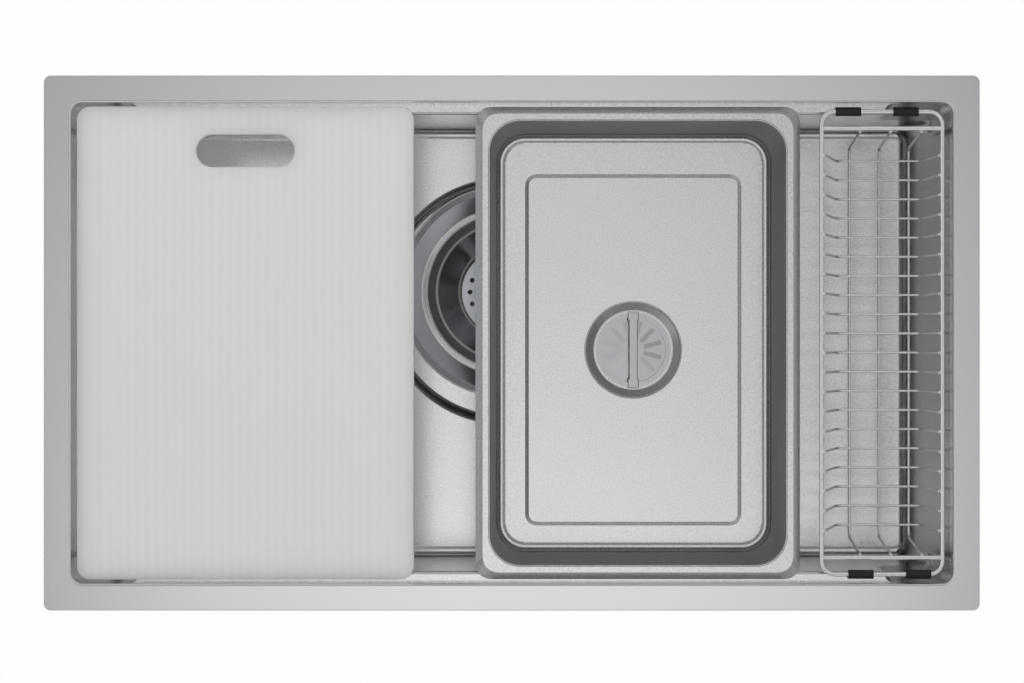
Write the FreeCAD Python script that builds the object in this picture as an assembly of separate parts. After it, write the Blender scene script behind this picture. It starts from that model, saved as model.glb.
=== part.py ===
import FreeCAD, Part
import math
import os

# A steel work-station kitchen sink that hangs in a worktop, with a cutting board, an insert tub and a wire
# rack that slide along its two ledges, a wide basket drain in the bowl and a small plugged drain in the tub.
# Millimetres. The origin is the middle of the opening on the worktop's surface.
# +X is the user's right, +Y is the back of the sink and +Z is up.

Vector = FreeCAD.Vector
up = Vector(0, 0, 1)

# General
cut_overrun = 5.0  # how far a cutting shape runs past the faces that it cuts
match_tolerance = 0.001  # two places nearer than this are the same place
slide_gap = 0.2  # air under a piece that slides on its seat or lifts off it
thread_gap = 0.15  # radial air in a screwed joint, whose thread isn't cut
weld_sink = 0.4  # how far welded wires sink into each other
sleeve_bite = 0.1  # how far a stretched rubber sleeve bites on its wire

# Rim panel and its seal on the worktop
rim_length = 780.0
rim_width = 446.0
rim_band = 22.5
rim_thickness = 3.0
rim_corner_radius = 6.0
rim_edge_round = 0.8
opening_corner_radius = 10.0
opening_edge_round = 2.0
rim_seal_thickness = 1.0
rim_seal_width = 7.0
rim_seal_inset = 3.0

# Bowl
sheet = 1.2
bowl_depth = 220.0
ledge_drop = 18.0
ledge_width = 9.0
ledge_edge_round = 2.5
ledge_end_gap = 55.0
relief_depth = 70.0
relief_round = 7.0
relief_tail_share = 0.4  # how far the pocket runs out below its slanted wall, as a share of its depth
end_wall_draft = 12.0
bowl_corner_radius = 12.0
bowl_floor_radius = 9.0

# Round recess in the bowl's floor, and the drain that stands a little behind its middle
recess_margin = 14.0  # how much wider than the drain's flange the recess is all round
recess_slope = 5.0
recess_round = 4.0
recess_depth = 6.0
recess_back_gap = 35.5  # flat floor behind the recess
drain_x = -6.5
drain_shift = 8.9  # from the recess's middle to the drain's

# Damping pads under the floor
pad_length = 150.0
pad_width = 140.0
pad_thickness = 2.0
pad_gap = 14.0
pad_corner_radius = 8.0

# Clips that pull the sink down on the worktop
worktop_thickness = 20.0
clip_x_shares = (-0.38, -0.13, 0.13, 0.38)
bracket_width = 22.0
bracket_height = 20.0
bracket_shelf = 15.0
clip_sheet = 2.0
jaw_width = 16.0
jaw_thickness = 3.0
jaw_reach = 26.0
jaw_toe_height = 5.0
jaw_toe_length = 4.0
jaw_heel_drop = 10.0
clip_play = 0.5
clip_screw_radius = 2.4
clip_hole_play = 0.3
clip_screw_tip = 4.0
clip_head_radius = 4.5
clip_head_height = 3.5

# Bowl drain
drain_sheet = 1.5
drain_flange_radius = 95.5
drain_flange_width = 20.5
drain_edge_height = 0.8
drain_bevel_width = 6.5
drain_crest_rise = 1.4
drain_seat_width = 8.0
drain_seat_drop = 4.0
drain_throat_length = 34.0
drain_edge_round = 0.7
drain_hole_play = 1.0
flange_seal_thickness = 1.5
flange_seal_inset = 3.0
under_seal_thickness = 2.0
under_seal_width = 11.0
lock_rim_height = 5.0
lock_web_gap = 0.7
lock_hub_height = 12.0
lock_hub_wall = 5.0
lock_overhang = 2.0
lock_notches = 12
lock_notch_width = 9.0
lock_notch_depth = 3.0
pot_wall = 3.0
pot_seal_thickness = 2.0
pot_rim_gap = 3.0
pot_depth = 26.0
pot_floor_radius = 34.0
outlet_radius = 22.0
spigot_length = 24.0
tail_radius = 20.0
tail_wall = 1.8
tail_insert = 12.0
tail_step = 0.3  # the pipe's end in the nut is turned down by this much
tail_length = 82.0
washer_height = 4.0
nut_wall = 4.0
nut_height = 18.0
nut_lip = 3.0
nut_flats = 12
nut_groove_radius = 2.0

# Strainer basket and the stopper in its middle
basket_sheet = 1.0
basket_rim_play = 4.5
basket_rim_rise = 2.2
basket_rim_fall = 1.4
basket_throat_play = 6.0
basket_mouth_round = 0.7
basket_dish_drop = 11.0
basket_cup_radius = 40.0
basket_cup_round = 2.5
basket_neck = 3.0
basket_taper = 1.0
basket_depth = 38.0
basket_hole_radius = 2.2
basket_hole_pitch = 11.0
basket_ring_share = 0.81  # ring of holes, as a share of the cup floor's radius
stem_radius = 4.0
stem_play = 0.4
stem_foot_radius = 14.0
stem_foot_height = 1.5
stopper_radius = 30.0
stopper_height = 5.0
stopper_lip_round = 1.5
knob_base_radius = 15.0
knob_waist_radius = 7.0
knob_head_radius = 12.0
knob_height = 24.0
knob_base_height = 3.0
knob_head_height = 9.0
knob_round = 1.2

# Cutting board
board_thickness = 15.0
board_end_gap = 4.7
board_side_gap = 3.2
board_corner_radius = 11.0
board_edge_round = 1.5
slot_length = 82.0
slot_width = 27.0
slot_edge_margin = 23.5

# Insert tub
tub_length = 272.0
tub_sheet = 1.0
tub_board_gap = 51.4
tub_rack_gap = 16.0
tub_side_gap = 2.5
tub_lip_rise = 5.0
tub_skirt_run = 6.0
tub_lip_width = 6.5
tub_lip_round = 2.0
tub_rim_corner_radius = 22.0
tub_depth = 105.0
tub_draft = 5.0
tub_corner_radius = 25.0
tub_floor_radius = 8.0
panel_margin_x = 24.5
panel_margin_y = 27.8
panel_drop = 2.2
panel_slope = 3.2
panel_corner_radius = 10.0

# Tub drain and its plug
tub_drain_y = -6.0
tub_drain_sheet = 1.2
tub_flange_radius = 42.5
tub_flange_width = 8.5
tub_edge_height = 0.6
tub_bevel_width = 1.8
tub_crest_rise = 0.9
tub_seat_drop = 4.0
tub_seat_width = 3.5
tub_throat_length = 15.0
tub_drain_round = 0.5
tub_hole_play = 0.8
tub_seal_thickness = 1.0
tub_seal_inset = 1.5
tub_nut_rim_height = 5.0
tub_nut_hub_height = 8.0
tub_nut_hub_wall = 3.5
tub_nut_overhang = 8.0
tub_nut_notches = 8
tub_nut_notch_width = 7.0
tub_nut_notch_depth = 2.5
plug_sheet = 1.0
plug_play = 0.5
plug_seal_thickness = 1.2
plug_dish_radius = 28.5
plug_dish_depth = 9.0
plug_flutes = 12
plug_flute_width = 4.0
plug_flute_start = 10.0
plug_flute_end = 25.5
plug_flute_depth = 0.7
plug_bar_width = 7.5
plug_bar_end_width = 9.5
plug_bar_end_length = 8.0
plug_bar_thickness = 2.5
plug_bar_round = 0.7

# Wire rack
rack_length = 104.8
rack_end_gap = 5.1
rack_side_gap = 4.9
rack_depth = 88.0
rack_inner_taper = 18.0
rack_outer_taper = 3.0
rack_rod_radius = 1.9
rack_corner_radius = 11.0
end_bar_inset = 14.0
hoop_radius = 1.1
hoop_count = 20
hoop_margin = 22.5
hoop_bend_radius = 7.0
runner_radius = 1.2
runner_count = 3
runner_pitch = 25.7
runner_bend_radius = 6.0
runner_end_slope = 9.0
sleeve_radius = 3.75
sleeve_length = 21.0
sleeve_back_shares = (-0.27, 0.19)
sleeve_front_shares = (-0.17, 0.29)

# Levels
panel_z = rim_seal_thickness
rim_z = panel_z + rim_thickness
ledge_z = rim_z - ledge_drop
floor_z = rim_z - bowl_depth
recess_z = floor_z - recess_depth
rest_z = ledge_z + slide_gap

# Bowl in plan
opening_length = rim_length - 2 * rim_band
opening_width = rim_width - 2 * rim_band
trough_width = opening_width - 2 * ledge_width
floor_length = opening_length - 2 * end_wall_draft
ledge_half = opening_length / 2 - ledge_end_gap
recess_radius = drain_flange_radius + recess_margin
recess_y = trough_width / 2 - bowl_floor_radius - recess_back_gap - recess_radius
drain_y = recess_y + drain_shift

# Bowl drain levels and fits
drain_seat_radius = drain_flange_radius - drain_flange_width
drain_throat_radius = drain_seat_radius - drain_seat_width
flange_z = recess_z + flange_seal_thickness
seat_z = flange_z + drain_sheet - drain_seat_drop
throat_end_z = seat_z - drain_throat_length
throat_outer_radius = drain_throat_radius + drain_sheet
drain_hole_radius = drain_seat_radius + drain_sheet + drain_hole_play
under_seal_z = recess_z - sheet - under_seal_thickness
lock_radius = drain_hole_radius + under_seal_width + lock_overhang
lock_web_z = seat_z - drain_sheet - lock_web_gap
lock_end_z = lock_web_z - lock_hub_height
pot_top_z = lock_end_z - pot_seal_thickness
pot_radius = throat_outer_radius + thread_gap
pot_floor_z = throat_end_z - pot_depth
spigot_radius = outlet_radius + pot_wall
spigot_end_z = pot_floor_z - pot_wall - spigot_length
washer_z = spigot_end_z - washer_height
tail_neck_radius = tail_radius - tail_step
nut_end_z = washer_z - nut_lip
tail_step_z = nut_end_z - tail_step
tail_top_z = spigot_end_z + tail_insert
tail_end_z = tail_top_z - tail_length

# Basket and stopper levels and sizes
basket_mouth_radius = drain_throat_radius - basket_throat_play
basket_floor_radius = basket_cup_radius - basket_taper
basket_seat_z = seat_z + slide_gap
basket_floor_z = basket_seat_z - basket_depth
basket_dish_z = basket_seat_z - basket_dish_drop
basket_neck_z = basket_dish_z - basket_neck
stopper_z = pot_floor_z + slide_gap
stem_foot_z = stopper_z + stopper_height
knob_z = basket_floor_z + slide_gap

# Accessories in plan: rack at the right end, tub beside it, board in the rest
rack_x = opening_length / 2 - rack_end_gap - rack_length / 2
rack_width = opening_width - 2 * rack_side_gap
tub_right = rack_x - rack_length / 2 - tub_rack_gap
tub_left = tub_right - tub_length
tub_width = opening_width - 2 * tub_side_gap
tub_x = (tub_left + tub_right) / 2
board_left = -opening_length / 2 + board_end_gap
board_right = tub_left - tub_board_gap
board_length = board_right - board_left
board_width = opening_width - 2 * board_side_gap
board_x = (board_left + board_right) / 2

# Tub levels and sizes
lip_z = rest_z + tub_lip_rise
lip_length = tub_length - 2 * tub_skirt_run
lip_width = tub_width - 2 * tub_skirt_run
tub_mouth_length = lip_length - 2 * tub_lip_width
tub_mouth_width = lip_width - 2 * tub_lip_width
tub_floor_z = lip_z - tub_depth
tub_floor_length = tub_mouth_length - 2 * tub_draft
tub_floor_width = tub_mouth_width - 2 * tub_draft
tub_panel_length = tub_floor_length - 2 * panel_margin_x
tub_panel_width = tub_floor_width - 2 * panel_margin_y
tub_panel_z = tub_floor_z - panel_drop

# Tub drain levels and fits
tub_seat_radius = tub_flange_radius - tub_flange_width
tub_throat_radius = tub_seat_radius - tub_seat_width
tub_flange_z = tub_panel_z + tub_seal_thickness
tub_seat_z = tub_flange_z + tub_drain_sheet - tub_seat_drop
tub_throat_outer = tub_throat_radius + tub_drain_sheet
tub_hole_radius = tub_seat_radius + tub_drain_sheet + tub_hole_play
tub_underside_z = tub_panel_z - tub_sheet
plug_seal_z = tub_seat_z + slide_gap
plug_rim_z = plug_seal_z + plug_seal_thickness
plug_radius = tub_seat_radius - plug_play
plug_wall_radius = plug_dish_radius + plug_sheet

# Rack levels and sizes
rod_z = rest_z + sleeve_radius
rod_half_x = rack_length / 2 - rack_rod_radius
rod_half_y = rack_width / 2 - rack_rod_radius
end_bar_y = rod_half_y - end_bar_inset
hoop_top_x = rod_half_x - rack_rod_radius - hoop_radius + weld_sink
hoop_inner_x = rack_x - hoop_top_x + rack_inner_taper
hoop_outer_x = rack_x + hoop_top_x - rack_outer_taper
hoop_z = rod_z - rack_depth
hoop_end_y = rod_half_y - end_bar_inset - hoop_margin
runner_z = hoop_z - hoop_radius - runner_radius + weld_sink
runner_top_y = end_bar_y - rack_rod_radius - runner_radius + weld_sink


# Plain shapes


def block(length, width, z_low, z_high, corner_radius, x=0.0, y=0.0):
    """An upright block with round corners, centred on x and y."""
    corner = Vector(x - length / 2, y - width / 2, z_low)
    solid = Part.makeBox(length, width, z_high - z_low, corner)
    return solid.makeFillet(corner_radius, rising_edges(solid))


def tapered_block(low, high, corner_radius, x=0.0, y=0.0):
    """A block between two level rectangles, each (length, width, z), with round corners."""
    corners = []
    for length, width, z in (low, high):
        for side_x, side_y in ((-1, -1), (1, -1), (1, 1), (-1, 1)):
            corners.append(Vector(x + side_x * length / 2, y + side_y * width / 2, z))
    outlines = [(0, 3, 2, 1), (4, 5, 6, 7)]
    outlines += [(i, (i + 1) % 4, (i + 1) % 4 + 4, i + 4) for i in range(4)]
    faces = []
    for outline in outlines:
        loop = [corners[i] for i in outline + outline[:1]]
        faces.append(Part.Face(Part.makePolygon(loop)))
    skin = Part.Shell(faces)
    skin.sewShape()
    solid = Part.Solid(skin)
    return solid.makeFillet(corner_radius, rising_edges(solid))


def sloped_block(low, high, corner_radius, x=0.0, y=0.0):
    """A block like the last, whose sloping sides keep one width round the corners."""
    low_radius = corner_radius - (high[0] - low[0]) / 2
    outlines = []
    for (length, width, z), radius in ((low, low_radius), (high, corner_radius)):
        slab = block(length, width, z, z + cut_overrun, radius, x, y)
        outlines.append(Part.Wire(Part.__sortEdges__(level_edges(slab, z))))
    return Part.makeLoft(outlines, True, True)


def cylinder(radius, z_low, z_high, x=0.0, y=0.0):
    return Part.makeCylinder(radius, z_high - z_low, Vector(x, y, z_low))


def ring(inner_radius, outer_radius, z_low, z_high, x=0.0, y=0.0):
    bore = cylinder(inner_radius, z_low - cut_overrun, z_high + cut_overrun, x, y)
    return cylinder(outer_radius, z_low, z_high, x, y).cut(bore)


def turned(outline, x=0.0, y=0.0):
    """The solid that a closed outline of (radius, z) points sweeps about an upright axis."""
    points = [Vector(x + radius, y, z) for radius, z in outline]
    face = Part.Face(Part.makePolygon(points + points[:1]))
    return face.revolve(Vector(x, y, 0), up, 360)


def extruded(points, direction):
    return Part.Face(Part.makePolygon(points + points[:1])).extrude(direction)


def rod(start, end, radius):
    return Part.makeCylinder(radius, (end - start).Length, start, end - start)


def bent_rod(points, bend_radius, radius, closed=False):
    """A round wire along straight runs joined by tangent bends."""
    edges = []
    last = len(points) - 1
    leave = points[0]
    for i in range(1, last + (1 if closed else 0)):
        before = (points[i] - points[i - 1]).normalize()
        after = (points[(i + 1) % len(points)] - points[i]).normalize()
        half_turn = before.getAngle(after) / 2
        setback = bend_radius * math.tan(half_turn)
        arrive = points[i] - before * setback
        depart = points[i] + after * setback
        inward = (after - before).normalize()
        middle = points[i] + inward * (bend_radius / math.cos(half_turn) - bend_radius)
        edges.append(Part.LineSegment(leave, arrive).toShape())
        edges.append(Part.Arc(arrive, middle, depart).toShape())
        leave = depart
    edges.append(Part.LineSegment(leave, points[0] if closed else points[last]).toShape())
    path = Part.Wire(edges)
    section = Part.Wire(Part.Circle(points[0], points[1] - points[0], radius).toShape())
    return path.makePipeShell([section], True, True)


# Choosing edges


def rising_edges(shape):
    return [edge for edge in shape.Edges if abs(edge.Vertexes[0].Z - edge.Vertexes[-1].Z) > match_tolerance]


def level_edges(shape, z):
    """The edges of a shape that lie at one level."""
    return [
        edge
        for edge in shape.Edges
        if all(abs(vertex.Z - z) < match_tolerance for vertex in edge.Vertexes)
        and abs(edge.BoundBox.ZLength) < match_tolerance + edge.Tolerance
    ]


def edges_inside(edges, length, width, x=0.0, y=0.0):
    """Those edges whose ends lie in a level rectangle centred on x and y."""
    reach_x = length / 2 + match_tolerance
    reach_y = width / 2 + match_tolerance
    return [
        edge
        for edge in edges
        if all(abs(vertex.X - x) < reach_x and abs(vertex.Y - y) < reach_y for vertex in edge.Vertexes)
    ]


def round_edges(shape, rims):
    """The circular edges of a turned shape that have one of these (radius, z)."""
    circles = [edge for edge in shape.Edges if isinstance(edge.Curve, Part.Circle)]
    return [
        edge
        for edge in circles
        for radius, z in rims
        if abs(edge.Curve.Radius - radius) < match_tolerance
        and abs(edge.Curve.Center.z - z) < match_tolerance
    ]


# Rim and bowl


def rim_panel():
    panel = block(rim_length, rim_width, panel_z, rim_z, rim_corner_radius)
    opening = block(
        opening_length, opening_width, panel_z - cut_overrun, rim_z + cut_overrun, opening_corner_radius
    )
    panel = panel.cut(opening)
    inner = edges_inside(level_edges(panel, rim_z), opening_length, opening_width)
    panel = panel.makeFillet(opening_edge_round, inner)
    middle_length = (rim_length + opening_length) / 2
    middle_width = (rim_width + opening_width) / 2
    top = level_edges(panel, rim_z)
    nearer = edges_inside(top, middle_length, middle_width)
    outer = [edge for edge in top if not any(edge.isSame(other) for other in nearer)]
    return panel.makeFillet(rim_edge_round, outer)


def rim_seal():
    length = rim_length - 2 * rim_seal_inset
    width = rim_width - 2 * rim_seal_inset
    strip = block(length, width, 0, rim_seal_thickness, rim_corner_radius)
    hole_length = length - 2 * rim_seal_width
    hole_width = width - 2 * rim_seal_width
    hole = block(hole_length, hole_width, -cut_overrun, rim_seal_thickness + cut_overrun, rim_corner_radius)
    return strip.cut(hole)


def corner_relief(side_x, side_y, grow):
    """The slanted pocket that ends a ledge before a corner of the bowl, its walls moved out by grow."""
    inner_y = side_y * (trough_width / 2 - ledge_width + grow)
    edge_y = side_y * (trough_width / 2 + grow)
    outer_y = side_y * (opening_width / 2 + grow)
    start_x = side_x * (ledge_half - grow)
    low_z = ledge_z - relief_depth
    tail_z = low_z - relief_tail_share * relief_depth
    section = [
        Vector(start_x, inner_y, ledge_z),
        Vector(start_x, outer_y, ledge_z),
        Vector(start_x, edge_y, low_z),
        Vector(start_x, inner_y, tail_z),
    ]
    wedge = extruded(section, Vector(side_x * (ledge_end_gap + cut_overrun), 0, 0))
    slanted = [
        edge
        for edge in wedge.Edges
        if all(abs(vertex.X - start_x) < match_tolerance for vertex in edge.Vertexes)
        and edge.BoundBox.ZLength > relief_depth / 2
        and edge.BoundBox.YLength > match_tolerance
    ]
    wedge = wedge.makeFillet(relief_round, slanted)
    plan = block(
        opening_length + 2 * grow, opening_width + 2 * grow, ledge_z, rim_z, opening_corner_radius + grow
    )
    sole = [face for face in plan.Faces if abs(face.CenterOfMass.z - ledge_z) < match_tolerance][0]
    ends = sole.extrude(Vector(-side_x * end_wall_draft, 0, floor_z - ledge_z))
    return wedge.common(ends)


def ledge_rounding(side_y):
    """The sliver that rounds a ledge's inner edge."""
    edge_y = side_y * trough_width / 2
    centre = Vector(-ledge_half, edge_y + side_y * ledge_edge_round, ledge_z - ledge_edge_round)
    corner = Vector(-ledge_half, edge_y, ledge_z)
    top = Vector(-ledge_half, centre.y, ledge_z)
    low = Vector(-ledge_half, edge_y, centre.z)
    middle = centre + (corner - centre).normalize() * ledge_edge_round
    edges = [
        Part.LineSegment(corner, top).toShape(),
        Part.Arc(top, middle, low).toShape(),
        Part.LineSegment(low, corner).toShape(),
    ]
    return Part.Face(Part.Wire(edges)).extrude(Vector(2 * ledge_half, 0, 0))


def bowl_room(grow, top_z):
    """The room in the bowl below top_z, with its walls and floor moved out by grow."""
    room = block(
        opening_length + 2 * grow,
        opening_width + 2 * grow,
        ledge_z - grow,
        top_z,
        opening_corner_radius + grow,
    )
    trough = tapered_block(
        (floor_length + 2 * grow, trough_width + 2 * grow, floor_z - grow),
        (opening_length + 2 * grow, trough_width + 2 * grow, ledge_z),
        bowl_corner_radius + grow,
    )
    trough = trough.makeFillet(bowl_floor_radius + grow, level_edges(trough, floor_z - grow))
    recess = Part.makeCone(
        recess_radius - recess_slope + grow,
        recess_radius + grow,
        recess_depth,
        Vector(drain_x, recess_y, recess_z - grow),
    )
    pockets = [corner_relief(side_x, side_y, grow) for side_x in (-1, 1) for side_y in (-1, 1)]
    return room.fuse([trough, recess] + pockets)


def sink_bowl():
    inside = bowl_room(0, panel_z + cut_overrun).fuse([ledge_rounding(-1), ledge_rounding(1)])
    outside = bowl_room(sheet, panel_z)
    hole = cylinder(drain_hole_radius, recess_z - sheet - cut_overrun, floor_z, drain_x, drain_y)
    bowl = outside.cut(inside).cut(hole).removeSplitter()
    brims = ((recess_radius, floor_z), (recess_radius - recess_slope, recess_z))
    return bowl.makeFillet(recess_round, round_edges(bowl, brims))


def sound_pads():
    """Four soft pads under the floor, beside the recess."""
    top_z = floor_z - sheet
    pad_x = recess_radius + sheet + pad_gap + pad_length / 2
    pad_y = (pad_gap + pad_width) / 2
    low_z = top_z - pad_thickness
    places = [(drain_x + side_x * pad_x, side_y * pad_y) for side_x in (-1, 1) for side_y in (-1, 1)]
    return [block(pad_length, pad_width, low_z, top_z, pad_corner_radius, x, y) for x, y in places]


# Clips under the rim

clip_wall_y = trough_width / 2 + sheet
jaw_top_z = -worktop_thickness - jaw_toe_height
jaw_low_z = jaw_top_z - jaw_thickness
shelf_top_z = jaw_low_z - jaw_heel_drop
shelf_low_z = shelf_top_z - clip_sheet
jaw_start_y = clip_wall_y + clip_sheet + clip_play
clip_screw_y = clip_wall_y + bracket_shelf / 2 + clip_sheet
clip_hole_radius = clip_screw_radius + clip_hole_play


def clip_box(width, y_near, y_far, z_low, z_high):
    return Part.makeBox(width, y_far - y_near, z_high - z_low, Vector(-width / 2, y_near, z_low))


def clip_hole():
    low_z = shelf_low_z - cut_overrun
    return cylinder(clip_hole_radius, low_z, jaw_top_z + cut_overrun, 0, clip_screw_y)


def clip_bracket():
    """An angle welded on the bowl's wall, whose shelf the screw pulls on."""
    plate_y = clip_wall_y + clip_sheet
    plate = clip_box(bracket_width, clip_wall_y, plate_y, shelf_low_z, shelf_low_z + bracket_height)
    shelf = clip_box(bracket_width, clip_wall_y, clip_wall_y + bracket_shelf, shelf_low_z, shelf_top_z)
    return plate.fuse(shelf).cut(clip_hole()).removeSplitter()


def clip_jaw():
    """A dog that stands on the shelf with its heel and presses up under the worktop with its toe."""
    far_y = jaw_start_y + jaw_reach
    bar = clip_box(jaw_width, jaw_start_y, far_y, jaw_low_z, jaw_top_z)
    heel = clip_box(jaw_width, jaw_start_y, jaw_start_y + clip_sheet, shelf_top_z, jaw_low_z)
    toe = clip_box(jaw_width, far_y - jaw_toe_length, far_y, jaw_top_z, -worktop_thickness)
    return bar.fuse([heel, toe]).cut(clip_hole()).removeSplitter()


def clip_screw():
    shaft = cylinder(clip_screw_radius, shelf_low_z, jaw_top_z + clip_screw_tip, 0, clip_screw_y)
    head = cylinder(clip_head_radius, shelf_low_z - clip_head_height, shelf_low_z, 0, clip_screw_y)
    return shaft.fuse(head).removeSplitter()


def clip_set(piece):
    """One piece of the clip at each of its places along the front and the back."""
    placed = []
    for turn in (0, 180):
        for share in clip_x_shares:
            copy = piece.copy()
            copy.rotate(Vector(0, 0, 0), up, turn)
            copy.translate(Vector(share * opening_length, 0, 0))
            placed.append(copy)
    return placed


# Bowl drain


def stepped_flange(radii, edge, z, thickness, seat_drop, throat_length, edge_round, x, y):
    """A drain flange at level z: a dished ring, a lower seat ring in it and a throat below.

    edge is the ring's outer edge: its height, and the width and rise of the bevel up to its crest.
    """
    flange_radius, seat_radius, throat_radius = radii
    edge_height, bevel_width, crest_rise = edge
    crest_radius = flange_radius - bevel_width
    top_z = z + thickness
    shelf_z = top_z - seat_drop
    end_z = shelf_z - throat_length
    flange = turned(
        [
            (flange_radius, z),
            (flange_radius, z + edge_height),
            (crest_radius, top_z + crest_rise),
            (seat_radius, top_z),
            (seat_radius, shelf_z),
            (throat_radius, shelf_z),
            (throat_radius, end_z),
            (throat_radius + thickness, end_z),
            (throat_radius + thickness, shelf_z - thickness),
            (seat_radius + thickness, shelf_z - thickness),
            (seat_radius + thickness, z),
        ],
        x,
        y,
    )
    rims = ((crest_radius, top_z + crest_rise), (seat_radius, top_z), (throat_radius, shelf_z))
    return flange.makeFillet(edge_round, round_edges(flange, rims))


def lock_ring(bore, hub_wall, relief, radius, top_z, rim_height, web_z, hub_height, notches, x, y):
    """A screwed ring that grips from below: notches is (count, width, depth) of its grip notches."""
    end_z = web_z - hub_height
    solid = turned(
        [
            (bore, web_z),
            (relief, web_z),
            (relief, top_z),
            (radius, top_z),
            (radius, top_z - rim_height),
            (bore + hub_wall, web_z - rim_height),
            (bore + hub_wall, end_z),
            (bore, end_z),
        ],
        x,
        y,
    )
    count, width, depth = notches
    cutters = []
    for i in range(count):
        cutter = Part.makeBox(
            depth + cut_overrun,
            width,
            rim_height + 2 * cut_overrun,
            Vector(x + radius - depth, y - width / 2, top_z - rim_height - cut_overrun),
        )
        cutter.rotate(Vector(x, y, 0), up, i * 360 / count)
        cutters.append(cutter)
    return solid.cut(cutters)


def drain_flange():
    return stepped_flange(
        (drain_flange_radius, drain_seat_radius, drain_throat_radius),
        (drain_edge_height, drain_bevel_width, drain_crest_rise),
        flange_z,
        drain_sheet,
        drain_seat_drop,
        drain_throat_length,
        drain_edge_round,
        drain_x,
        drain_y,
    )


def drain_flange_seal():
    outer = drain_flange_radius - flange_seal_inset
    return ring(drain_hole_radius, outer, recess_z, flange_z, drain_x, drain_y)


def drain_under_seal():
    outer = drain_hole_radius + under_seal_width
    return ring(drain_hole_radius, outer, under_seal_z, recess_z - sheet, drain_x, drain_y)


def drain_lock_ring():
    return lock_ring(
        pot_radius,
        lock_hub_wall,
        drain_hole_radius,
        lock_radius,
        under_seal_z,
        lock_rim_height,
        lock_web_z,
        lock_hub_height,
        (lock_notches, lock_notch_width, lock_notch_depth),
        drain_x,
        drain_y,
    )


def drain_pot_seal():
    return ring(pot_radius, pot_radius + pot_wall, pot_top_z, lock_end_z, drain_x, drain_y)


def drain_pot():
    """The moulded funnel under the drain, with a flat floor that the stopper seals on and a spigot."""
    cone_z = throat_end_z - pot_rim_gap
    return turned(
        [
            (pot_radius, pot_top_z),
            (pot_radius + pot_wall, pot_top_z),
            (pot_radius + pot_wall, cone_z),
            (pot_floor_radius + pot_wall, pot_floor_z - pot_wall),
            (spigot_radius, pot_floor_z - pot_wall),
            (spigot_radius, spigot_end_z),
            (outlet_radius, spigot_end_z),
            (outlet_radius, pot_floor_z),
            (pot_floor_radius, pot_floor_z),
            (pot_radius, cone_z),
        ],
        drain_x,
        drain_y,
    )


def outlet_washer():
    """The tapered ring that seals the tail pipe under the spigot."""
    return turned(
        [
            (tail_neck_radius, washer_z),
            (tail_neck_radius, spigot_end_z),
            (spigot_radius, spigot_end_z),
            ((tail_neck_radius + spigot_radius) / 2, washer_z),
        ],
        drain_x,
        drain_y,
    )


def outlet_nut():
    """The slip nut on the spigot, with grip grooves round it."""
    bore = spigot_radius + thread_gap
    radius = bore + nut_wall
    top_z = washer_z + nut_height
    solid = turned(
        [
            (bore, top_z),
            (radius, top_z),
            (radius, nut_end_z),
            (tail_neck_radius + thread_gap, nut_end_z),
            (tail_neck_radius + thread_gap, washer_z),
            (bore, washer_z),
        ],
        drain_x,
        drain_y,
    )
    grooves = []
    for i in range(nut_flats):
        groove = cylinder(
            nut_groove_radius, nut_end_z - cut_overrun, top_z + cut_overrun, drain_x + radius, drain_y
        )
        groove.rotate(Vector(drain_x, drain_y, 0), up, i * 360 / nut_flats)
        grooves.append(groove)
    return solid.cut(grooves)


def outlet_tail():
    bore = tail_radius - tail_wall
    return turned(
        [
            (bore, tail_end_z),
            (tail_radius, tail_end_z),
            (tail_radius, tail_step_z),
            (tail_neck_radius, tail_step_z),
            (tail_neck_radius, tail_top_z),
            (bore, tail_top_z),
        ],
        drain_x,
        drain_y,
    )


# Strainer basket and stopper


def strainer_basket():
    """A wide smooth dish that hangs on its rim, with a short neck round the hole in its middle."""
    rim_radius = drain_seat_radius - basket_rim_play
    top_z = basket_seat_z + basket_rim_rise
    mouth_z = top_z - basket_rim_fall
    solid = turned(
        [
            (rim_radius, basket_seat_z),
            (rim_radius, top_z),
            (basket_mouth_radius, mouth_z),
            (basket_cup_radius, basket_dish_z),
            (basket_cup_radius, basket_neck_z),
            (basket_cup_radius + basket_sheet, basket_neck_z),
            (basket_cup_radius + basket_sheet, basket_dish_z - basket_sheet),
            (basket_mouth_radius, mouth_z - basket_sheet),
            (rim_radius - basket_sheet, top_z - basket_sheet),
            (rim_radius - basket_sheet, basket_seat_z),
        ],
        drain_x,
        drain_y,
    )
    brims = ((rim_radius, top_z), (basket_mouth_radius, mouth_z))
    solid = solid.makeFillet(basket_mouth_round, round_edges(solid, brims))
    return solid.makeFillet(basket_cup_round, round_edges(solid, ((basket_cup_radius, basket_dish_z),)))


def basket_cup():
    """The perforated cup that is welded under the dish's neck."""
    core_radius = stem_radius + stem_play
    solid = turned(
        [
            (basket_cup_radius, basket_neck_z),
            (basket_floor_radius, basket_floor_z),
            (core_radius, basket_floor_z),
            (core_radius, basket_floor_z - basket_sheet),
            (basket_floor_radius + basket_sheet, basket_floor_z - basket_sheet),
            (basket_cup_radius + basket_sheet, basket_neck_z),
        ],
        drain_x,
        drain_y,
    )
    return solid.cut(basket_holes())


def basket_holes():
    """One ring of holes in the cup's floor."""
    holes = []
    low_z = basket_floor_z - basket_sheet - cut_overrun
    distance = basket_ring_share * basket_floor_radius
    count = int(2 * math.pi * distance / basket_hole_pitch)
    for i in range(count):
        angle = 2 * math.pi * i / count
        x = drain_x + distance * math.cos(angle)
        y = drain_y + distance * math.sin(angle)
        holes.append(cylinder(basket_hole_radius, low_z, basket_floor_z + cut_overrun, x, y))
    return holes


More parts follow.
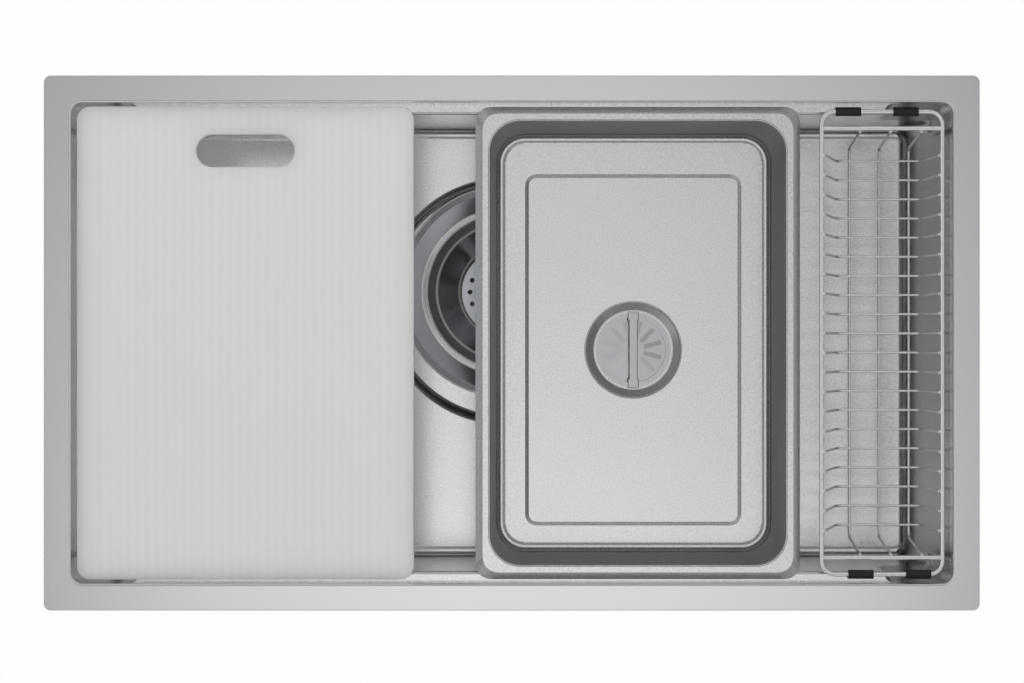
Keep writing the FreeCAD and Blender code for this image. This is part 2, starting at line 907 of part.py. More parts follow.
def stopper_stem():
    shaft = cylinder(stem_radius, stem_foot_z, knob_z, drain_x, drain_y)
    foot = cylinder(stem_foot_radius, stem_foot_z, stem_foot_z + stem_foot_height, drain_x, drain_y)
    return shaft.fuse(foot).removeSplitter()


def stopper_seal():
    solid = cylinder(stopper_radius, stopper_z, stem_foot_z, drain_x, drain_y)
    return solid.makeFillet(stopper_lip_round, level_edges(solid, stopper_z))


def stopper_knob():
    waist_z = knob_z + knob_base_height
    head_z = knob_z + knob_height - knob_head_height
    top_z = knob_z + knob_height
    solid = turned(
        [
            (0, knob_z),
            (knob_base_radius, knob_z),
            (knob_base_radius, waist_z),
            (knob_waist_radius, waist_z + knob_base_height),
            (knob_waist_radius, head_z - knob_base_height),
            (knob_head_radius, head_z),
            (knob_head_radius, top_z),
            (0, top_z),
        ],
        drain_x,
        drain_y,
    )
    rims = ((knob_base_radius, waist_z), (knob_head_radius, head_z), (knob_head_radius, top_z))
    return solid.makeFillet(knob_round, round_edges(solid, rims))


# Cutting board


def cutting_board():
    top_z = rest_z + board_thickness
    board = block(board_length, board_width, rest_z, top_z, board_corner_radius, board_x)
    slot_y = board_width / 2 - slot_edge_margin - slot_width / 2
    low_z = rest_z - cut_overrun
    high_z = top_z + cut_overrun
    straight = slot_length - slot_width
    middle = Part.makeBox(
        straight, slot_width, high_z - low_z, Vector(board_x - straight / 2, slot_y - slot_width / 2, low_z)
    )
    end_xs = (board_x - straight / 2, board_x + straight / 2)
    ends = [cylinder(slot_width / 2, low_z, high_z, end_x, slot_y) for end_x in end_xs]
    board = board.cut(middle.fuse(ends).removeSplitter())
    return board.makeFillet(board_edge_round, level_edges(board, top_z) + level_edges(board, rest_z))


# Insert tub


def tub_room(grow):
    """The room in the tub, with its sunken floor panel, its walls and floor moved out by grow."""
    basin = tapered_block(
        (tub_floor_length + 2 * grow, tub_floor_width + 2 * grow, tub_floor_z - grow),
        (tub_mouth_length + 2 * grow, tub_mouth_width + 2 * grow, lip_z),
        tub_corner_radius + grow,
        tub_x,
    )
    basin = basin.makeFillet(tub_floor_radius + grow, level_edges(basin, tub_floor_z - grow))
    panel_length = tub_panel_length + 2 * grow
    panel_width = tub_panel_width + 2 * grow
    panel = sloped_block(
        (panel_length - 2 * panel_slope, panel_width - 2 * panel_slope, tub_panel_z - grow),
        (panel_length, panel_width, tub_floor_z - grow),
        panel_corner_radius + grow,
        tub_x,
        tub_drain_y,
    )
    return basin.fuse(panel)


def tub_rim(inset, low_z):
    """The solid under the tub's lip and sloping skirt, its faces moved in by inset."""
    return tapered_block(
        (tub_length - 2 * inset, tub_width - 2 * inset, low_z),
        (lip_length - 2 * inset, lip_width - 2 * inset, lip_z - inset),
        tub_rim_corner_radius - inset,
        tub_x,
    )


def tub_shell():
    skin = tub_room(tub_sheet)
    room = tub_room(0)
    shell = tub_rim(0, rest_z).fuse(skin).cut(room)
    mouth = edges_inside(level_edges(shell, lip_z), tub_mouth_length, tub_mouth_width, tub_x)
    shell = shell.makeFillet(tub_lip_round, mouth)
    hollow = tub_rim(tub_sheet, rest_z).cut(skin)
    hole = cylinder(
        tub_hole_radius, tub_underside_z - cut_overrun, tub_panel_z + cut_overrun, tub_x, tub_drain_y
    )
    return shell.cut(hollow).cut(hole).removeSplitter()


# Tub drain and plug


def tub_drain_flange():
    return stepped_flange(
        (tub_flange_radius, tub_seat_radius, tub_throat_radius),
        (tub_edge_height, tub_bevel_width, tub_crest_rise),
        tub_flange_z,
        tub_drain_sheet,
        tub_seat_drop,
        tub_throat_length,
        tub_drain_round,
        tub_x,
        tub_drain_y,
    )


def tub_drain_seal():
    outer = tub_flange_radius - tub_seal_inset
    return ring(tub_hole_radius, outer, tub_panel_z, tub_flange_z, tub_x, tub_drain_y)


def tub_drain_nut():
    return lock_ring(
        tub_throat_outer + thread_gap,
        tub_nut_hub_wall,
        tub_hole_radius,
        tub_hole_radius + tub_nut_overhang,
        tub_underside_z,
        tub_nut_rim_height,
        tub_seat_z - tub_drain_sheet - lock_web_gap,
        tub_nut_hub_height,
        (tub_nut_notches, tub_nut_notch_width, tub_nut_notch_depth),
        tub_x,
        tub_drain_y,
    )


def plug_seal():
    return ring(plug_wall_radius, plug_radius, plug_seal_z, plug_rim_z, tub_x, tub_drain_y)


def plug_dish():
    """A pressed dish with a flat rim and a fan of shallow flutes that deepen outwards in its floor."""
    top_z = plug_rim_z + plug_sheet
    floor_top_z = top_z - plug_dish_depth
    dish = turned(
        [
            (plug_radius, plug_rim_z),
            (plug_radius, top_z),
            (plug_dish_radius, top_z),
            (plug_dish_radius, floor_top_z),
            (0, floor_top_z),
            (0, floor_top_z - plug_sheet),
            (plug_wall_radius, floor_top_z - plug_sheet),
            (plug_wall_radius, plug_rim_z),
        ],
        tub_x,
        tub_drain_y,
    )
    start_x = tub_x + plug_flute_start
    end_x = tub_x + plug_flute_end
    side_y = tub_drain_y - plug_flute_width / 2
    outline = [
        Vector(start_x, side_y, floor_top_z),
        Vector(end_x, side_y, floor_top_z - plug_flute_depth),
        Vector(end_x, side_y, floor_top_z + cut_overrun),
    ]
    flutes = []
    for i in range(plug_flutes):
        flute = extruded(outline, Vector(0, plug_flute_width, 0))
        flute.rotate(Vector(tub_x, tub_drain_y, 0), up, (i + 1 / 2) * 360 / plug_flutes)
        flutes.append(flute)
    return dish.cut(flutes)


def plug_bar():
    """The lifting bar across the plug, wider where it stands on the rim."""
    low_z = plug_rim_z + plug_sheet
    tip_y = math.sqrt(plug_radius**2 - (plug_bar_end_width / 2) ** 2)
    neck_y = tip_y - plug_bar_end_length
    half_outline = [
        (plug_bar_end_width / 2, -tip_y),
        (plug_bar_end_width / 2, -neck_y),
        (plug_bar_width / 2, -neck_y),
        (plug_bar_width / 2, neck_y),
        (plug_bar_end_width / 2, neck_y),
        (plug_bar_end_width / 2, tip_y),
    ]
    outline = half_outline + [(-x, y) for x, y in reversed(half_outline)]
    points = [Vector(tub_x + x, tub_drain_y + y, low_z) for x, y in outline]
    bar = extruded(points, Vector(0, 0, plug_bar_thickness))
    return bar.makeFillet(plug_bar_round, level_edges(bar, low_z + plug_bar_thickness))


# Wire rack


def rack_frame():
    """The closed top wire, started in the middle of a side so that it closes in a straight run."""
    points = [
        Vector(rack_x - rod_half_x, 0, rod_z),
        Vector(rack_x - rod_half_x, rod_half_y, rod_z),
        Vector(rack_x + rod_half_x, rod_half_y, rod_z),
        Vector(rack_x + rod_half_x, -rod_half_y, rod_z),
        Vector(rack_x - rod_half_x, -rod_half_y, rod_z),
    ]
    return bent_rod(points, rack_corner_radius, rack_rod_radius, closed=True)


def rack_end_bars():
    reach = rod_half_x - rack_rod_radius + weld_sink
    bars = []
    for y in (-end_bar_y, end_bar_y):
        left = Vector(rack_x - reach, y, rod_z)
        right = Vector(rack_x + reach, y, rod_z)
        bars.append(rod(left, right, rack_rod_radius))
    return bars


def rack_hoops():
    """The cross wires, each bent down from one side of the frame and up to the other."""
    hoops = []
    for i in range(hoop_count):
        y = hoop_end_y * (2 * i / (hoop_count - 1) - 1)
        points = [
            Vector(rack_x - hoop_top_x, y, rod_z),
            Vector(hoop_inner_x, y, hoop_z),
            Vector(hoop_outer_x, y, hoop_z),
            Vector(rack_x + hoop_top_x, y, rod_z),
        ]
        hoops.append(bent_rod(points, hoop_bend_radius, hoop_radius))
    return hoops


def rack_runners():
    """The long wires under the hoops, bent up to the end bars."""
    runners = []
    for i in range(runner_count):
        x = (hoop_inner_x + hoop_outer_x) / 2 + runner_pitch * (i - (runner_count - 1) / 2)
        floor_y = runner_top_y - runner_end_slope
        points = [
            Vector(x, -runner_top_y, rod_z),
            Vector(x, -floor_y, runner_z),
            Vector(x, floor_y, runner_z),
            Vector(x, runner_top_y, rod_z),
        ]
        runners.append(bent_rod(points, runner_bend_radius, runner_radius))
    return runners


def rack_sleeves():
    """The rubber sleeves on the frame's ends, which ride on the ledges."""
    sleeves = []
    for side, shares in ((1, sleeve_back_shares), (-1, sleeve_front_shares)):
        for share in shares:
            centre = Vector(rack_x + share * rack_length, side * rod_half_y, rod_z)
            half = Vector(sleeve_length / 2, 0, 0)
            past = Vector(cut_overrun, 0, 0)
            tube = rod(centre - half, centre + half, sleeve_radius)
            bore = rod(centre - half - past, centre + half + past, rack_rod_radius - sleeve_bite)
            sleeves.append(tube.cut(bore))
    return sleeves


def pieces():
    """Every node of the part: its name, and its solid or its group of like solids."""
    return {
        "rim_panel": rim_panel(),
        "rim_seal": rim_seal(),
        "sink_bowl": sink_bowl(),
        "sound_pads": sound_pads(),
        "clip_brackets": clip_set(clip_bracket()),
        "clip_jaws": clip_set(clip_jaw()),
        "clip_screws": clip_set(clip_screw()),
        "drain_flange": drain_flange(),
        "drain_flange_seal": drain_flange_seal(),
        "drain_under_seal": drain_under_seal(),
        "drain_lock_ring": drain_lock_ring(),
        "drain_pot_seal": drain_pot_seal(),
        "drain_pot": drain_pot(),
        "outlet_washer": outlet_washer(),
        "outlet_nut": outlet_nut(),
        "outlet_tail": outlet_tail(),
        "strainer_basket": strainer_basket(),
        "basket_cup": basket_cup(),
        "stopper_knob": stopper_knob(),
        "stopper_stem": stopper_stem(),
        "stopper_seal": stopper_seal(),
        "cutting_board": cutting_board(),
        "tub_shell": tub_shell(),
        "tub_drain_flange": tub_drain_flange(),
        "tub_drain_seal": tub_drain_seal(),
        "tub_drain_nut": tub_drain_nut(),
        "plug_dish": plug_dish(),
        "plug_bar": plug_bar(),
        "plug_seal": plug_seal(),
        "rack_frame": rack_frame(),
        "rack_end_bars": rack_end_bars(),
        "rack_hoops": rack_hoops(),
        "rack_runners": rack_runners(),
        "rack_sleeves": rack_sleeves(),
    }


def main():
    os.makedirs("parts", exist_ok=True)
    for name, made in pieces().items():
        shape = Part.makeCompound(made) if isinstance(made, list) else made
        shape.exportStep(f"parts/{name}.step")
        print(f"{name}: {len(shape.Solids)} solid(s), {shape.Volume / 1000:.1f} cm3, valid {shape.isValid()}")


if __name__ == "__main__":
    main()
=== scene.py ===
import math
import bpy
import bmesh
from mathutils import Matrix, Vector


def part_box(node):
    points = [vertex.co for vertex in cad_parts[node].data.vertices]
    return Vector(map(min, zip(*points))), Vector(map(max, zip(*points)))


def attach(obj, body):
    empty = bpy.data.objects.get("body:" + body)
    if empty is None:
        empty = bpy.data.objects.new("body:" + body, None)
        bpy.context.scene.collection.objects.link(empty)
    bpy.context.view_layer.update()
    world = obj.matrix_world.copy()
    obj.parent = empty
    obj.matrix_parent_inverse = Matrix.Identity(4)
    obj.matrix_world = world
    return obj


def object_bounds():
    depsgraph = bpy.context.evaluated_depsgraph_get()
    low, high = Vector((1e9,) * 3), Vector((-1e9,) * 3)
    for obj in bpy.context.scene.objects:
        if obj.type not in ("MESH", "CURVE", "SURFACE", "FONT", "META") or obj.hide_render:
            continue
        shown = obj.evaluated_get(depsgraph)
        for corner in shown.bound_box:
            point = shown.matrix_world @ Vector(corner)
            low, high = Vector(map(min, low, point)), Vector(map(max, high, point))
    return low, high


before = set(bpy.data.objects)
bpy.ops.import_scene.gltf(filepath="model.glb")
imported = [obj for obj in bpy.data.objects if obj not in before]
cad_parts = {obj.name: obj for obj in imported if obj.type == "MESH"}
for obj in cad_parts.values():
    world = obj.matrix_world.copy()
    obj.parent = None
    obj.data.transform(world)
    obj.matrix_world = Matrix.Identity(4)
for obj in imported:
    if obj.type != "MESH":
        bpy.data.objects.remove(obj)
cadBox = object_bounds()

scene = bpy.context.scene
scene.view_settings.view_transform = "Standard"
fullTurn = 2 * math.pi
mid = 0.5        # a noise or a yes-or-no mask swings about this


# a shader value that takes part in sums
class Shade:
    def __init__(self, tree, socket):
        self.tree = tree
        self.socket = socket

    def sum(self, operation, other=None, swap=False):
        pair = (other, self) if swap else (self, other)
        ports = {port: value for port, value in enumerate(pair) if value is not None}
        return addNode(self.tree, "Math", {"operation": operation}, ports)

    def __add__(self, other):
        return self.sum("ADD", other)

    def __sub__(self, other):
        return self.sum("SUBTRACT", other)

    def __rsub__(self, other):
        return self.sum("SUBTRACT", other, True)

    def __mul__(self, other):
        return self.sum("MULTIPLY", other)

    def __gt__(self, other):
        return self.sum("GREATER_THAN", other)

    def __lt__(self, other):
        return self.sum("LESS_THAN", other)

    __radd__ = __add__
    __rmul__ = __mul__


def feed(tree, port, value):        # a link for a shader value, a plain setting for a number or colour
    if isinstance(value, Shade):
        tree.links.new(value.socket, port)
    else:
        port.default_value = value


def addNode(tree, kind, settings=None, ports=None, output=0):
    made = tree.nodes.new("ShaderNode" + kind)
    for key, value in (settings or {}).items():
        if key == "stops":
            fillRamp(made.color_ramp, value)
        else:
            setattr(made, key, value)
    for key, value in (ports or {}).items():
        feed(tree, made.inputs[key], value)
    return Shade(tree, made.outputs[output])


def fillRamp(ramp, stops):
    while len(ramp.elements) < len(stops):
        ramp.elements.new(1.0)
    for stop, (place, shade) in zip(ramp.elements, stops):
        stop.position = place
        stop.color = (shade, shade, shade, 1)


# one finish: a material with its nodes close at hand
class Finish:
    def __init__(self, name, **basics):
        self.material = bpy.data.materials.new(name)
        self.material.use_nodes = True
        self.tree = self.material.node_tree
        self.shader = self.tree.nodes["Principled BSDF"]
        for port, value in basics.items():
            self.set(port, value)

    def set(self, port, value):
        feed(self.tree, self.shader.inputs[port.replace("_", " ")], value)

    def node(self, kind, settings=None, ports=None, output=0):
        return addNode(self.tree, kind, settings, ports, output)

    def place(self, scale=(1, 1, 1), centre=(0, 0, 0)):
        spot = self.node("TexCoord", output=3)
        return self.node("Mapping", {"vector_type": "TEXTURE"}, {0: spot, 1: centre, 3: scale})

    def axis(self, vector, name):
        return self.node("SeparateXYZ", ports={0: vector}, output="XYZ".index(name))

    def noise(self, spot, scale, detail=2.0, rough=0.5):
        return self.node("TexNoise", {"noise_dimensions": "3D"}, {0: spot, 2: scale, 3: detail, 4: rough})

    def blend(self, low, high, mask):
        return self.node("Mix", {"data_type": "RGBA"}, {0: mask, 6: low, 7: high}, 2)

    def between(self, look, mask):
        return self.blend(look["deep"] + (1,), look["pale"] + (1,), mask)

    def bump(self, height, depth):
        return self.node("Bump", ports={"Strength": 1.0, "Distance": depth, "Height": height})


# bead-blasted sheet: a fine pearly grain over a slow drift
# each look's tone for steep faces is painted: painted shade on the rim's and tub's walls, painted light on
# the bowl's walls
rimLook = {
    "pale": (0.84, 0.85, 0.865), "deep": (0.72, 0.73, 0.745), "paintedWallTone": (0.74, 0.75, 0.765),
    "roughness": 0.2, "dullRoughness": 0.2, "grain": 900.0, "grainShare": 0.4, "depth": 0.000006,
}
bowlLook = {
    "pale": (0.87, 0.88, 0.895), "deep": (0.57, 0.58, 0.595), "paintedWallTone": (0.92, 0.92, 0.93),
    "roughness": 0.17, "dullRoughness": 0.2, "grain": 620.0, "grainShare": 0.85, "depth": 0.000016,
}
tubLook = {
    "pale": (0.89, 0.89, 0.895), "deep": (0.55, 0.55, 0.555), "paintedWallTone": (0.26, 0.26, 0.265),
    "roughness": 0.19, "dullRoughness": 0.4, "grain": 620.0, "grainShare": 0.85, "depth": 0.000016,
}
sheetLook = {
    "detail": 3.0, "crumble": 0.65, "contrast": 1.8, "drift": 7.0,
    "speckRoughness": 0.08, "driftRoughness": 0.05,
}
coatLook = {
    "pale": (0.30, 0.305, 0.31), "deep": (0.245, 0.25, 0.255), "roughness": 0.7, "unevenness": 0.2,
    "pebble": 420.0, "detail": 3.0, "crumble": 0.7, "relief": 3.0,
    "pocketEnd": 0.33, "pocketFoot": -0.19, "outward": 0.02, "downward": -0.5,
}


def satinSteel(name, look, coat=None):
    finish = Finish(name, Metallic=1.0)
    spot = finish.place()
    facing = finish.node("NewGeometry", output=1)
    speck = finish.noise(spot, look["grain"], sheetLook["detail"], sheetLook["crumble"])
    speck = (speck - mid) * sheetLook["contrast"] + mid
    drift = finish.noise(spot, sheetLook["drift"], sheetLook["detail"])
    steep = 1 - finish.axis(facing, "Z").sum("ABSOLUTE")        # steep faces get a painted tone, painted shade on the rim's and tub's walls and painted light on the bowl's walls, and their own roughness
    tint = finish.between(look, speck * look["grainShare"] + drift * (1 - look["grainShare"]))
    # painted light and shade: steep faces take the look's painted wall tone
    tint = finish.blend(tint, look["paintedWallTone"] + (1,), steep)
    rough = look["roughness"] + (speck - mid) * sheetLook["speckRoughness"] * look["grainShare"]
    rough = rough + (drift - mid) * sheetLook["driftRoughness"]
    rough = rough + steep * (look["dullRoughness"] - look["roughness"])
    height = speck
    if coat:        # sprayed sound coat on the faces that look away from the bowl's room
        alongX, alongY = (finish.axis(facing, way) * finish.axis(spot, way) for way in "XY")
        endWalls = finish.axis(spot, "X").sum("ABSOLUTE") > coat["pocketEnd"]
        low = finish.axis(spot, "Z") < coat["pocketFoot"]
        sense = (endWalls + low > mid) * 2 - 1        # the pockets' faces look the other way
        across = alongX * sense + alongY
        under = finish.axis(facing, "Z") < coat["downward"]
        outside = ((across > coat["outward"]) + under) > mid
        pebble = finish.noise(spot, coat["pebble"], coat["detail"], coat["crumble"])
        tint = finish.blend(tint, finish.between(coat, pebble), outside)
        coatRough = coat["roughness"] + (pebble - mid) * coat["unevenness"]
        rough = rough * (1 - outside) + outside * coatRough
        height = speck * (1 - outside) + outside * pebble * coat["relief"]
        finish.set("Metallic", 1 - outside)
    finish.set("Base_Color", tint)
    finish.set("Roughness", rough)
    finish.set("Normal", finish.bump(height, look["depth"]))
    return finish.material


# polished and turned: faint rings about the drain's middle, and painted highlights as thin pale rings at
# these distances from it, where its edges lie
drainLook = {
    "pale": (0.50, 0.52, 0.55), "deep": (0.36, 0.375, 0.40), "roughness": 0.1, "metal": 0.8,
    "edges": (0.0949, 0.0746, 0.0701, 0.0611, 0.0408), "paintedHighlightWidth": 0.0011, "paintedHighlightColour": (0.95, 0.955, 0.96),
}
plugLook = {
    "pale": (0.50, 0.51, 0.525), "deep": (0.40, 0.41, 0.425), "roughness": 0.13, "metal": 1.0,
    "edges": (0.0419, 0.0338), "paintedHighlightWidth": 0.0008, "paintedHighlightColour": (0.80, 0.805, 0.81),
}
turnedLook = {
    "ringPitch": 0.0009, "drift": 30.0, "detail": 3.0, "driftShare": 0.7, "ringShare": 0.12, "base": 0.15,
    "paintedHighlightMetal": 0.5, "driftRoughness": 0.08, "ringRoughness": 0.02, "depth": 0.000003,
}


def polishedSteel(name, look, centre):
    finish = Finish(name)
    spot = finish.place(centre=centre)
    x, y = finish.axis(spot, "X"), finish.axis(spot, "Y")
    reach = (x * x + y * y).sum("SQRT")
    ring = (reach * (fullTurn / turnedLook["ringPitch"])).sum("SINE")
    drift = finish.noise(spot, turnedLook["drift"], turnedLook["detail"])
    # painted highlight: thin pale rings at the edges' distances from the middle
    bright = sum((reach - edge).sum("ABSOLUTE") < look["paintedHighlightWidth"] for edge in look["edges"])
    mask = drift * turnedLook["driftShare"] + ring * turnedLook["ringShare"] + turnedLook["base"]
    tint = finish.blend(finish.between(look, mask), look["paintedHighlightColour"] + (1,), bright)
    rough = look["roughness"] + (drift - mid) * turnedLook["driftRoughness"]
    rough = rough + ring * turnedLook["ringRoughness"]
    finish.set("Base_Color", tint)
    # less metal under the painted highlight, so its pale colour shows
    finish.set("Metallic", look["metal"] - bright * turnedLook["paintedHighlightMetal"])
    finish.set("Roughness", rough)
    finish.set("Normal", finish.bump(ring, turnedLook["depth"]))
    return finish.material


wireLook = {
    "pale": (0.92, 0.925, 0.93), "deep": (0.76, 0.765, 0.77), "roughness": 0.18, "unevenness": 0.16,
    "metal": 0.75, "streak": 260.0, "detail": 3.0, "scratch": 1800.0, "depth": 0.000004,
}


def drawnWire(name, look):
    finish = Finish(name, Metallic=look["metal"])
    spot = finish.place()
    streak = finish.noise(spot, look["streak"], look["detail"])
    finish.set("Base_Color", finish.between(look, streak))
    finish.set("Roughness", look["roughness"] + (streak - mid) * look["unevenness"])
    finish.set("Normal", finish.bump(finish.noise(spot, look["scratch"]), look["depth"]))
    return finish.material


boardLook = {
    "pale": (0.93, 0.935, 0.942), "deep": (0.89, 0.896, 0.905), "roughness": 0.5, "unevenness": 0.12,
    "ridgePitch": 0.00775, "scuff": (0.0012, 0.25, 0.1), "crumble": 0.6, "drift": 6.0, "lightPath": 0.06,
    "scuffShare": 0.35, "driftShare": 0.45, "ridgeShare": 0.2, "base": 0.1,
    "ridgeRelief": 0.5, "scuffRelief": 0.3, "depth": 0.00012,
}


def ridgedBoard(name, look):        # faint ridges run from front to back
    finish = Finish(name, Subsurface_Weight=1.0, Subsurface_Radius=(1, 1, 1))
    finish.set("Subsurface_Scale", look["lightPath"])
    spot = finish.place()
    ridge = (finish.axis(spot, "X") * (fullTurn / look["ridgePitch"])).sum("SINE")
    scuff = finish.noise(finish.place(look["scuff"]), 1.0, rough=look["crumble"])
    drift = finish.noise(spot, look["drift"])
    mask = scuff * look["scuffShare"] + drift * look["driftShare"] + ridge * look["ridgeShare"] + look["base"]
    finish.set("Base_Color", finish.between(look, mask))
    finish.set("Roughness", look["roughness"] + (scuff - mid) * look["unevenness"])
    relief = ridge * look["ridgeRelief"] + scuff * look["scuffRelief"]
    finish.set("Normal", finish.bump(relief, look["depth"]))
    return finish.material


# moulded plastics and rubbers
softLooks = {
    "blackSleeve": {
        "pale": (0.022, 0.022, 0.023), "deep": (0.010, 0.010, 0.011),
        "roughness": 0.6, "gloss": 0.25, "pebble": 1400.0, "depth": 0.00003,
    },
    "darkSeal": {
        "pale": (0.13, 0.13, 0.135), "deep": (0.085, 0.085, 0.09),
        "roughness": 0.75, "gloss": 0.5, "pebble": 900.0, "depth": 0.00004,
    },
    "dampingPad": {
        "pale": (0.12, 0.12, 0.125), "deep": (0.075, 0.075, 0.08),
        "roughness": 0.8, "gloss": 0.5, "pebble": 240.0, "depth": 0.00025,
    },
    "drainMoulding": {
        "pale": (0.78, 0.78, 0.765), "deep": (0.68, 0.68, 0.665),
        "roughness": 0.46, "gloss": 0.5, "pebble": 600.0, "depth": 0.00003,
    },
}
mouldLook = {
    "detail": 3.0, "crumble": 0.6, "drift": 18.0, "pebbleShare": 0.5, "driftShare": 0.5,
    "pebbleRoughness": 0.16, "driftRoughness": 0.1,
}


def moulded(name, look):
    finish = Finish(name, Specular_IOR_Level=look["gloss"])
    spot = finish.place()
    pebble = finish.noise(spot, look["pebble"], mouldLook["detail"], mouldLook["crumble"])
    drift = finish.noise(spot, mouldLook["drift"], mouldLook["detail"])
    mask = pebble * mouldLook["pebbleShare"] + drift * mouldLook["driftShare"]
    rough = look["roughness"] + (pebble - mid) * mouldLook["pebbleRoughness"]
    finish.set("Base_Color", finish.between(look, mask))
    finish.set("Roughness", rough + (drift - mid) * mouldLook["driftRoughness"])
    finish.set("Normal", finish.bump(pebble, look["depth"]))
    return finish.material


zincLook = {
    "pale": (0.66, 0.665, 0.64), "deep": (0.46, 0.47, 0.47), "roughness": 0.42, "unevenness": 0.25,
    "metal": 0.9, "flake": 260.0, "drift": 60.0, "detail": 3.0, "flakeShare": 0.6, "driftShare": 0.4,
    "depth": 0.00003,
}


def zincPlate(name, look):
    finish = Finish(name, Metallic=look["metal"])
    spot = finish.place()
    flake = finish.node("TexVoronoi", {"feature": "F1"}, {0: spot, 2: look["flake"]})
    drift = finish.noise(spot, look["drift"], look["detail"])
    finish.set("Base_Color", finish.between(look, flake * look["flakeShare"] + drift * look["driftShare"]))
    finish.set("Roughness", look["roughness"] + (drift - mid) * look["unevenness"])
    finish.set("Normal", finish.bump(drift, look["depth"]))
    return finish.material


def middle(node):
    low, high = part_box(node)
    return tuple((low + high) / 2)


finishes = {
    "rimSteel": satinSteel("rimSteel", rimLook),
    "bowlSteel": satinSteel("bowlSteel", bowlLook, coatLook),
    "tubSteel": satinSteel("tubSteel", tubLook),
    "drainPolish": polishedSteel("drainPolish", drainLook, middle("drain_flange")),
    "plugPolish": polishedSteel("plugPolish", plugLook, middle("tub_drain_flange")),
    "rackWire": drawnWire("rackWire", wireLook),
    "ridgedBoard": ridgedBoard("ridgedBoard", boardLook),
    "clipZinc": zincPlate("clipZinc", zincLook),
}
for softName, softLook in softLooks.items():
    finishes[softName] = moulded(softName, softLook)

wearing = {
    "rimSteel": ["rim_panel"],
    "bowlSteel": ["sink_bowl"],
    "tubSteel": ["tub_shell"],
    "drainPolish": ["drain_flange", "strainer_basket", "basket_cup", "stopper_stem", "stopper_knob"],
    "plugPolish": ["tub_drain_flange", "plug_dish", "plug_bar"],
    "rackWire": ["rack_frame", "rack_end_bars", "rack_hoops", "rack_runners"],
    "ridgedBoard": ["cutting_board"],
    "clipZinc": ["clip_brackets", "clip_jaws", "clip_screws"],
    "blackSleeve": ["rack_sleeves", "stopper_seal", "plug_seal"],
    "darkSeal": [
        "rim_seal", "drain_flange_seal", "drain_under_seal", "drain_pot_seal",
        "outlet_washer", "tub_drain_seal",
    ],
    "dampingPad": ["sound_pads"],
    "drainMoulding": ["drain_lock_ring", "drain_pot", "outlet_nut", "outlet_tail", "tub_drain_nut"],
}
for finishName, nodes in wearing.items():
    for node in nodes:
        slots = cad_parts[node].data.materials
        slots.clear()
        slots.append(finishes[finishName])
print("finishes on", sum(len(nodes) for nodes in wearing.values()), "nodes of", len(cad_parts))


def newPiece(name, shape):
    mesh = bpy.data.meshes.new(name)
    shape.to_mesh(mesh)
    shape.free()
    piece = bpy.data.objects.new(name, mesh)
    scene.collection.objects.link(piece)
    return piece


# weld beads where the hoops meet the rack's frame
beadLook = {"size": 0.0013, "squash": (0.7, 1.3, 1.0), "lift": 0.0006, "hoops": 20, "hoopRadius": 0.0011}


def weldBeads(look):
    beads = bmesh.new()
    frameLow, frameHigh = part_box("rack_frame")
    barLow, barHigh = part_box("rack_end_bars")
    hoopLow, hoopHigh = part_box("rack_hoops")
    wire = barHigh.z - barLow.z        # the frame's wire is as thick as the end bars
    level = barLow.z + wire / 2 + look["lift"]
    first, last = hoopLow.y + look["hoopRadius"], hoopHigh.y - look["hoopRadius"]
    for x in (frameLow.x + wire, frameHigh.x - wire):
        for step in range(look["hoops"]):
            y = first + (last - first) * step / (look["hoops"] - 1)
            spot = Matrix.Translation((x, y, level)) @ Matrix.Diagonal(look["squash"] + (1,))
            bmesh.ops.create_icosphere(beads, subdivisions=2, radius=look["size"], matrix=spot)
    for face in beads.faces:
        face.smooth = True
    piece = newPiece("weldBeads", beads)
    piece.data.materials.append(finishes["rackWire"])
    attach(piece, "rack")


weldBeads(beadLook)
print("weld beads on the rack")


# pale floor just under the tail pipe, white where it is looked at or mirrored
floorLook = {"colour": (0.86, 0.86, 0.86), "roughness": 0.9, "size": 14.0, "drop": 0.002, "glow": 0.97}


def paleFloor(look):
    ground = bmesh.new()
    bmesh.ops.create_grid(ground, x_segments=1, y_segments=1, size=look["size"] / 2)
    bmesh.ops.translate(ground, verts=ground.verts, vec=(0, 0, cadBox[0][2] - look["drop"]))
    piece = newPiece("floor", ground)
    finish = Finish("floorPale", Roughness=look["roughness"], Base_Color=look["colour"] + (1,))
    rays = ("Is Camera Ray", "Is Glossy Ray", "Is Transmission Ray")
    seen = sum(finish.node("LightPath", output=ray) for ray in rays)
    glow = finish.node("Emission", ports={0: (1, 1, 1, 1), 1: 1.0})
    plain = Shade(finish.tree, finish.shader.outputs[0])
    mixed = finish.node("MixShader", ports={0: seen * look["glow"], 1: plain, 2: glow})
    feed(finish.tree, finish.tree.nodes["Material Output"].inputs[0], mixed)
    piece.data.materials.append(finish.material)


paleFloor(floorLook)

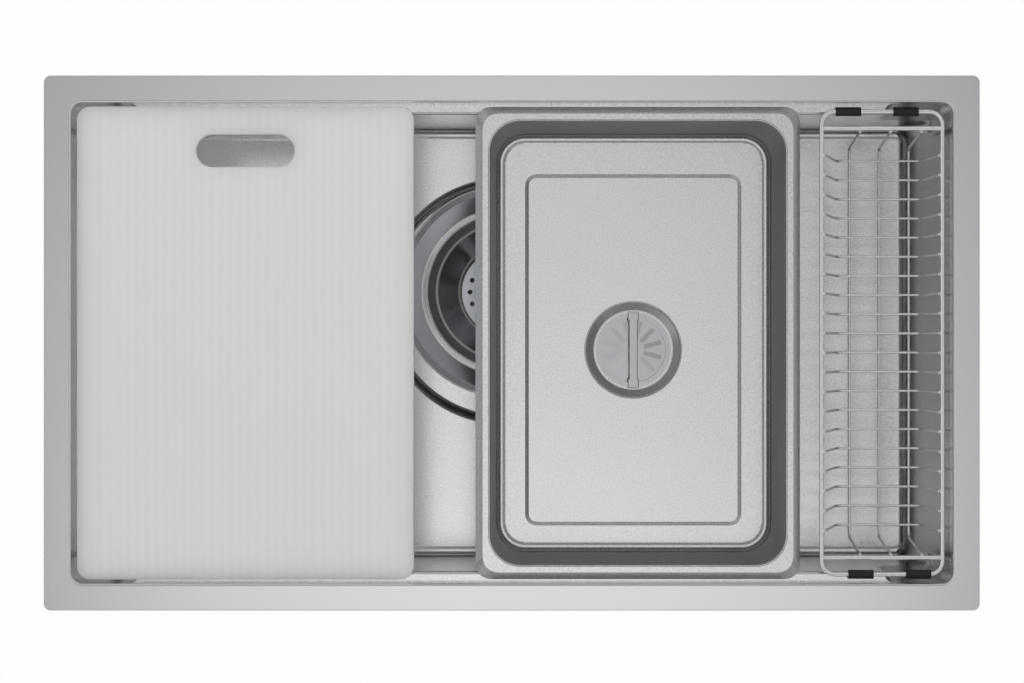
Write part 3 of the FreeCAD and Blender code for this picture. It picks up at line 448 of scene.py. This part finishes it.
# soft boxes: where, how large, and how bright their face is
lampLook = {
    "frontStrip": {"place": (0.0, -0.5, 3.4), "size": (1.6, 0.5), "glow": 0.3, "mirrored": True},
    "softFill": {"place": (0.0, 1.0, 3.2), "size": (2.4, 2.4), "glow": 3.4, "mirrored": False},
}
for lampName, lamp in lampLook.items():
    light = bpy.data.lights.new(lampName, "AREA")
    light.shape = "RECTANGLE"
    light.size, light.size_y = lamp["size"]
    light.energy = math.pi * light.size * light.size_y * lamp["glow"]
    holder = bpy.data.objects.new(lampName, light)
    holder.location = lamp["place"]
    holder.rotation_euler = (-Vector(lamp["place"])).to_track_quat("-Z", "Y").to_euler()
    holder.visible_camera = False
    holder.visible_glossy = lamp["mirrored"]        # the fill lights matt pieces and leaves no glare on steel
    scene.collection.objects.link(holder)

# studio dome by height: pale skyline, a bright ring half way up, and a soft patch overhead
domeLook = {
    "strength": 1.0,
    "stops": [
        (0.0, 0.80), (0.10, 0.70), (0.22, 0.25), (0.42, 0.32), (0.55, 0.95), (0.68, 0.95), (0.78, 0.40),
        (0.90, 0.25), (0.955, 0.21), (0.97, 0.28), (0.982, 0.38), (0.991, 0.60), (1.0, 1.0),
    ],
}


def studioDome(look):
    world = bpy.data.worlds.new("studio")
    world.use_nodes = True
    scene.world = world
    tree = world.node_tree
    ray = addNode(tree, "TexCoord", output=0)
    height = addNode(tree, "SeparateXYZ", ports={0: ray}, output=2)
    shade = addNode(tree, "ValToRGB", {"stops": look["stops"]}, {0: height})
    feed(tree, tree.nodes["Background"].inputs[0], shade)
    feed(tree, tree.nodes["Background"].inputs[1], look["strength"])


studioDome(domeLook)

# camera straight over the rim
viewLook = {"place": (0.0002, 0.00125, 2.704), "lens": 113.97, "sensor": 36.0}
eye = bpy.data.cameras.new("overRim")
eye.lens = viewLook["lens"]
eye.sensor_width = viewLook["sensor"]
eyeHolder = bpy.data.objects.new("overRim", eye)
eyeHolder.location = viewLook["place"]
scene.collection.objects.link(eyeHolder)
scene.camera = eyeHolder
print("floor, light and camera set")
